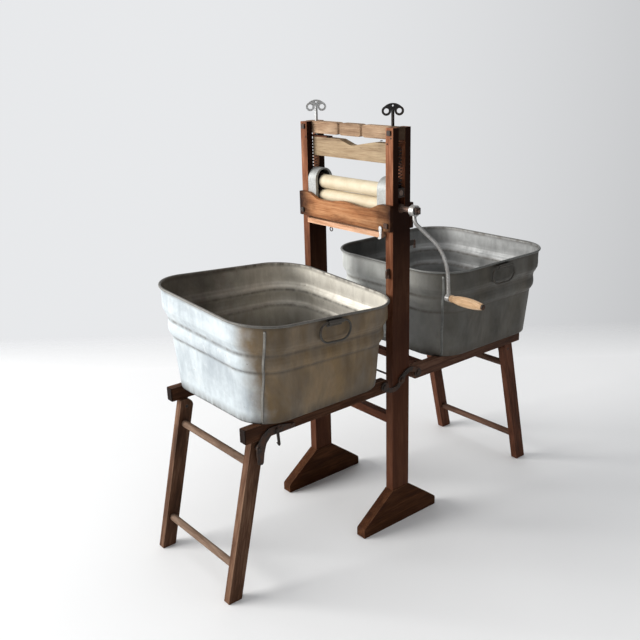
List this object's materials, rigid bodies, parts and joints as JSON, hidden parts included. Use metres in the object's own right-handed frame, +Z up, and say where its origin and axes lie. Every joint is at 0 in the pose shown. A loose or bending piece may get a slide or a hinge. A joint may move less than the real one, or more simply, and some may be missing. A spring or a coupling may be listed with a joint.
{
  "type": "folding bench wringer",
  "caption": "Folding bench wringer: a hand crank turns rubber rolls between slotted posts, and folding wings on each side carry square metal wash tubs with drop handles.",
  "frame": {"origin": "centre of the footprint's bounding box, on the floor", "axes": "+Z up, +X towards the crank, +Y along the bench from the near tub to the far tub"},
  "size_m": [0.7082, 1.3165, 1.304],
  "materials": {
    "post_wood": "aged red-brown hardwood, worn grain",
    "foot_wood": "dark stained hardwood, worn edges",
    "beam_wood": "bleached grey-tan hardwood",
    "apron_wood": "orange-brown varnished board",
    "wing_wood": "aged brown softwood",
    "rung_wood": "pale turned wood",
    "grip_wood": "turned and hand-polished wood",
    "roll_rubber": "cream rubber, matte",
    "shaft_steel": "dull bare steel",
    "dark_iron": "rusty dark iron",
    "crank_iron": "light grey worn iron",
    "guard_zinc": "weathered zinc sheet",
    "near_galvanised": "light spangled zinc",
    "far_galvanised": "dark weathered zinc"
  },
  "bodies": {
    "frame": {"post_left": "post_wood", "post_right": "post_wood", "foot_left": "foot_wood", "foot_right": "foot_wood", "top_rail": "beam_wood", "screw_nuts": "dark_iron", "frame_bolts": "dark_iron", "apron_front": "apron_wood", "apron_back": "apron_wood", "lower_stretcher": "foot_wood", "gear_guard_left": "guard_zinc", "gear_guard_right": "guard_zinc", "lower_bearings": "dark_iron", "hinge_bracket_left": "dark_iron", "hinge_bracket_right": "dark_iron", "tie_rod": "dark_iron", "wing_pivot_pins": "dark_iron", "wing_catches": "dark_iron"},
    "lower_roller": {"lower_roll": "roll_rubber", "crank_shaft": "shaft_steel", "lower_gears": "dark_iron", "crank_arm": "crank_iron", "crank_fasteners": "crank_iron"},
    "crank_handle": {"crank_grip": "grip_wood"},
    "upper_carriage": {"upper_bearings": "dark_iron", "spring_left": "shaft_steel", "spring_right": "shaft_steel"},
    "upper_roller": {"upper_roll": "roll_rubber", "upper_shaft": "shaft_steel", "upper_gears": "dark_iron"},
    "pressure_beam": {"pressure_bar": "beam_wood", "pressure_straps": "dark_iron"},
    "screw_left": {"thumb_screw_left": "crank_iron"},
    "screw_right": {"thumb_screw_right": "dark_iron"},
    "drip_tray": {"drip_board": "apron_wood", "drip_fittings": "dark_iron"},
    "drip_latch": {"drip_hook": "dark_iron"},
    "near_wing": {"near_rail_left": "wing_wood", "near_rail_right": "wing_wood", "near_crossbar": "wing_wood", "near_leg_irons": "dark_iron"},
    "far_wing": {"far_rail_left": "wing_wood", "far_rail_right": "wing_wood", "far_crossbar": "wing_wood", "far_leg_irons": "dark_iron"},
    "near_legs": {"near_leg_left": "wing_wood", "near_leg_right": "wing_wood", "near_rungs": "rung_wood"},
    "far_legs": {"far_leg_left": "wing_wood", "far_leg_right": "wing_wood", "far_rungs": "rung_wood"},
    "latch": {"leg_latch": "dark_iron"},
    "near_basin": {"near_tub": "near_galvanised", "near_tub_ears": "near_galvanised"},
    "far_basin": {"far_tub": "far_galvanised", "far_tub_ears": "far_galvanised"},
    "near_left_handle": {"near_handle_left": "near_galvanised"},
    "near_right_handle": {"near_handle_right": "near_galvanised"},
    "far_left_handle": {"far_handle_left": "far_galvanised"},
    "far_right_handle": {"far_handle_right": "far_galvanised"}
  },
  "joints": [
    {"name": "crank_turn", "type": "hinge", "parent": "frame", "child": "lower_roller", "pos_m": [-0.06875, -0.00448, 1.0145], "axis": [1, 0, 0], "continuous": true},
    {"name": "grip_spin", "type": "hinge", "parent": "lower_roller", "child": "crank_handle", "pos_m": [0.23925, 0.10402, 0.745], "axis": [1, 0, 0], "continuous": true},
    {"name": "roller_lift", "type": "slide", "parent": "frame", "child": "upper_carriage", "axis": [0, 0, 1], "range_m": [0, 0.006], "stiffness_N_per_m": 1500, "springref_m": -0.01},
    {"name": "upper_roll_turn", "type": "hinge", "parent": "upper_carriage", "child": "upper_roller", "pos_m": [-0.06875, -0.00448, 1.0585], "axis": [1, 0, 0], "continuous": true},
    {"name": "pressure_press", "type": "slide", "parent": "frame", "child": "pressure_beam", "axis": [0, 0, -1], "range_m": [0, 0.012], "stiffness_N_per_m": 2000, "springref_m": -0.02, "deforming": ["spring_left", "spring_right"]},
    {"name": "left_screw_turn", "type": "hinge", "parent": "pressure_beam", "child": "screw_left", "pos_m": [-0.23675, -0.00448, 1.25], "axis": [0, 0, -1], "range_deg": [0, 721]},
    {"name": "right_screw_turn", "type": "hinge", "parent": "pressure_beam", "child": "screw_right", "pos_m": [0.09925, -0.00448, 1.25], "axis": [0, 0, -1], "range_deg": [0, 721]},
    {"name": "drip_tilt", "type": "hinge", "parent": "frame", "child": "drip_tray", "pos_m": [-0.06875, -0.00448, 0.9385], "axis": [1, 0, 0], "range_deg": [-5, 5]},
    {"name": "drip_hook_swing", "type": "hinge", "parent": "frame", "child": "drip_latch", "pos_m": [0.09925, -0.05348, 0.96], "axis": [0, 1, 0], "range_deg": [-30, 30]},
    {"name": "near_wing_fold", "type": "hinge", "parent": "frame", "child": "near_wing", "pos_m": [-0.06875, -0.07448, 0.486], "axis": [-1, 0, 0], "range_deg": [0, 80]},
    {"name": "far_wing_fold", "type": "hinge", "parent": "frame", "child": "far_wing", "pos_m": [-0.06875, 0.06552, 0.496], "axis": [1, 0, 0], "range_deg": [0, 80]},
    {"name": "near_leg_fold", "type": "hinge", "parent": "near_wing", "child": "near_legs", "pos_m": [-0.06875, -0.53575, 0.442], "axis": [1, 0, 0], "range_deg": [0, 100]},
    {"name": "far_leg_fold", "type": "hinge", "parent": "far_wing", "child": "far_legs", "pos_m": [-0.06875, 0.5245, 0.452], "axis": [-1, 0, 0], "range_deg": [0, 100]},
    {"name": "leg_latch_swing", "type": "hinge", "parent": "near_wing", "child": "latch", "pos_m": [0.14085, -0.47775, 0.48], "axis": [1, 0, 0], "range_deg": [-35, 35]},
    {"name": "near_tub_lift", "type": "slide", "parent": "frame", "child": "near_basin", "axis": [0, -0.8, 0.6], "range_m": [0, 1.26]},
    {"name": "far_tub_lift", "type": "slide", "parent": "frame", "child": "far_basin", "axis": [0, 0.8, 0.6], "range_m": [0, 1.26]},
    {"name": "near_left_handle_swing", "type": "hinge", "parent": "near_basin", "child": "near_left_handle", "pos_m": [-0.3484, -0.31448, 0.79199], "axis": [0, 0.9978, -0.0659], "range_deg": [0, 95]},
    {"name": "near_right_handle_swing", "type": "hinge", "parent": "near_basin", "child": "near_right_handle", "pos_m": [0.2029, -0.31448, 0.76461], "axis": [0, -0.9978, 0.0659], "range_deg": [0, 95]},
    {"name": "far_left_handle_swing", "type": "hinge", "parent": "far_basin", "child": "far_left_handle", "pos_m": [-0.34875, 0.38352, 0.7883], "axis": [0, 1, 0], "range_deg": [0, 95]},
    {"name": "far_right_handle_swing", "type": "hinge", "parent": "far_basin", "child": "far_right_handle", "pos_m": [0.20325, 0.38352, 0.7883], "axis": [0, -1, 0], "range_deg": [0, 95]}
  ],
  "couplings": [
    {"joint": "upper_roll_turn", "follows": "crank_turn", "ratio": -1},
    {"joint": "left_screw_turn", "follows": "pressure_press", "rad_per_m": 1047.2},
    {"joint": "right_screw_turn", "follows": "pressure_press", "rad_per_m": 1047.2},
    {"joint": "near_tub_lift", "follows": "near_wing_fold", "m_per_rad": 0.9},
    {"joint": "far_tub_lift", "follows": "far_wing_fold", "m_per_rad": 0.9}
  ]
}
